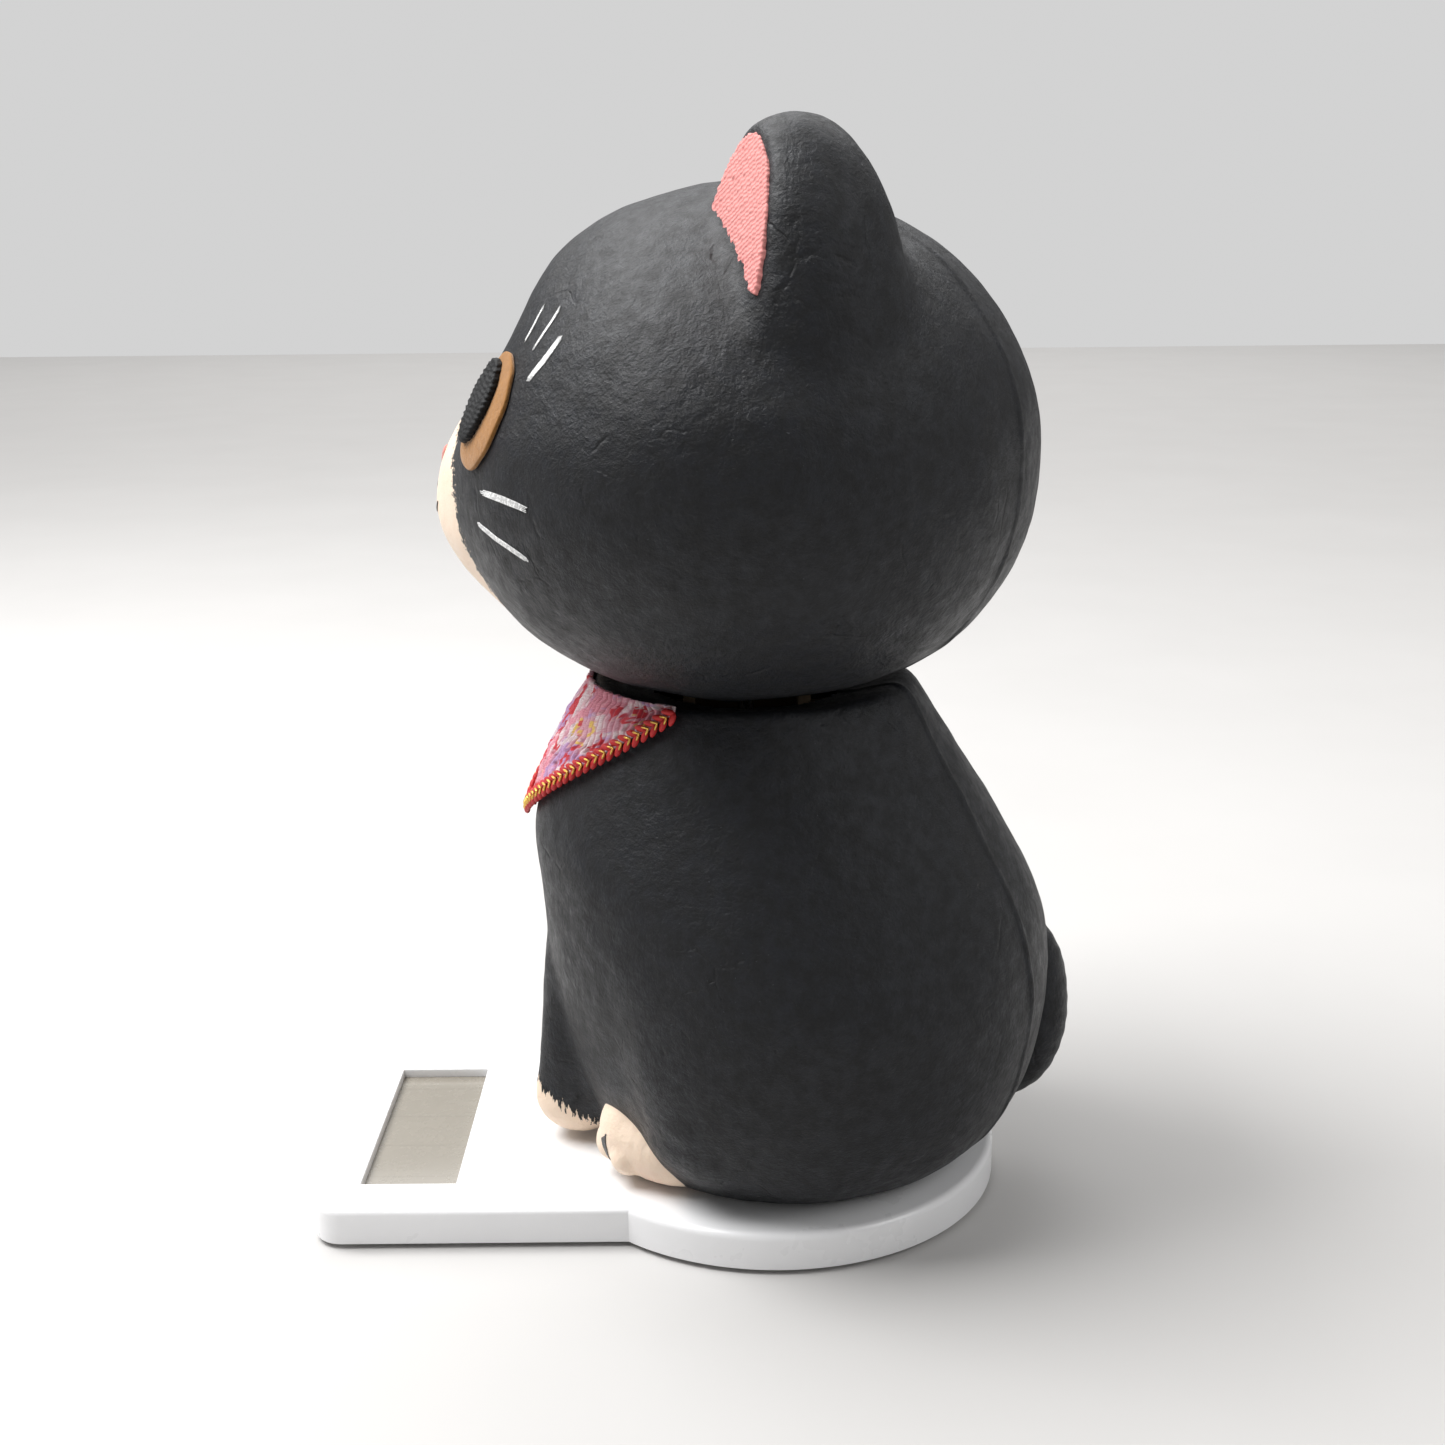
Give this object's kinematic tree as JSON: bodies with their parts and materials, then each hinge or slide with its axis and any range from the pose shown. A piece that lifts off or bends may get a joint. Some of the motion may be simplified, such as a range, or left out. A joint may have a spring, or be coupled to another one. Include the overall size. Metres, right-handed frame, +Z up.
{
  "type": "beckoning cat figurine",
  "caption": "Seated papier-mache beckoning cat with a raised paw and a swaying head, on a flat base with a solar cell panel.",
  "frame": {"origin": "on the table, in the middle of the object's outline seen from above", "axes": "+Z up, the cat and the cell panel face -Y, the cat's left is +X"},
  "size_m": [0.0798, 0.0993, 0.1363],
  "materials": {
    "white_plastic": "satin",
    "foot_rubber": "matt",
    "screw_steel": "brushed",
    "cell_glass": "glossy, dark grey-beige under the glass",
    "foam_tape": "matt foam",
    "coil_copper": "enamelled wire",
    "bobbin_plastic": "matt",
    "board_laminate": "satin",
    "black_plastic": "matt",
    "capacitor_can": "satin",
    "charcoal_paper": "matt handmade paper",
    "cream_paper": "matt painted paper",
    "card_board": "matt",
    "bib_crepe": "crimped silk crepe, pink, white, lilac, yellow and red",
    "braid": "red braid with gold thread",
    "frame_plastic": "matt",
    "pivot_brass": "satin",
    "weight_steel": "turned",
    "magnet": "nickel plated",
    "pink_crepe": "crimped silk crepe",
    "amber_felt": "felt",
    "black_crepe": "crimped silk crepe"
  },
  "bodies": {
    "root": {"base_shell": "white_plastic", "base_plate": "white_plastic", "rubber_feet": "foot_rubber", "base_screws": "screw_steel", "solar_cell": "cell_glass", "cell_tape": "foam_tape", "drive_coil": "coil_copper", "coil_bobbin": "bobbin_plastic", "circuit_board": "board_laminate", "driver_chip": "black_plastic", "storage_capacitor": "capacitor_can", "cell_wires": "black_plastic", "coil_wires": "coil_copper", "stage_tape": "foam_tape", "body_front_shell": "charcoal_paper", "body_back_panel": "charcoal_paper", "bottom_board": "card_board", "left_foreleg": "charcoal_paper", "right_raised_arm": "charcoal_paper", "left_hind_foot": "cream_paper", "right_hind_foot": "cream_paper", "tail": "charcoal_paper", "bib": "bib_crepe", "bib_braid": "braid", "neck_frame": "frame_plastic"},
    "gimbal": {"gimbal_ring": "pivot_brass", "sway_pins": "screw_steel"},
    "head": {"nod_pin": "screw_steel", "pivot_block": "pivot_brass", "pendulum_rod": "screw_steel", "counterweight": "weight_steel", "drive_magnet": "magnet", "head_cup": "card_board", "head_front_shell": "charcoal_paper", "head_back_panel": "charcoal_paper", "left_ear": "charcoal_paper", "right_ear": "charcoal_paper", "left_ear_lining": "pink_crepe", "right_ear_lining": "pink_crepe", "left_eye": "amber_felt", "right_eye": "amber_felt", "left_pupil": "black_crepe", "right_pupil": "black_crepe", "muzzle": "cream_paper", "nose": "pink_crepe"}
  },
  "joints": [
    {"name": "head_sway", "type": "hinge", "parent": "root", "child": "gimbal", "pos_m": [0, 0.00625, 0.0992], "axis": [0, 1, 0], "range_deg": [-5, 5]},
    {"name": "head_nod", "type": "hinge", "parent": "gimbal", "child": "head", "pos_m": [0, 0.00625, 0.0992], "axis": [1, 0, 0], "range_deg": [-4, 4]}
  ]
}
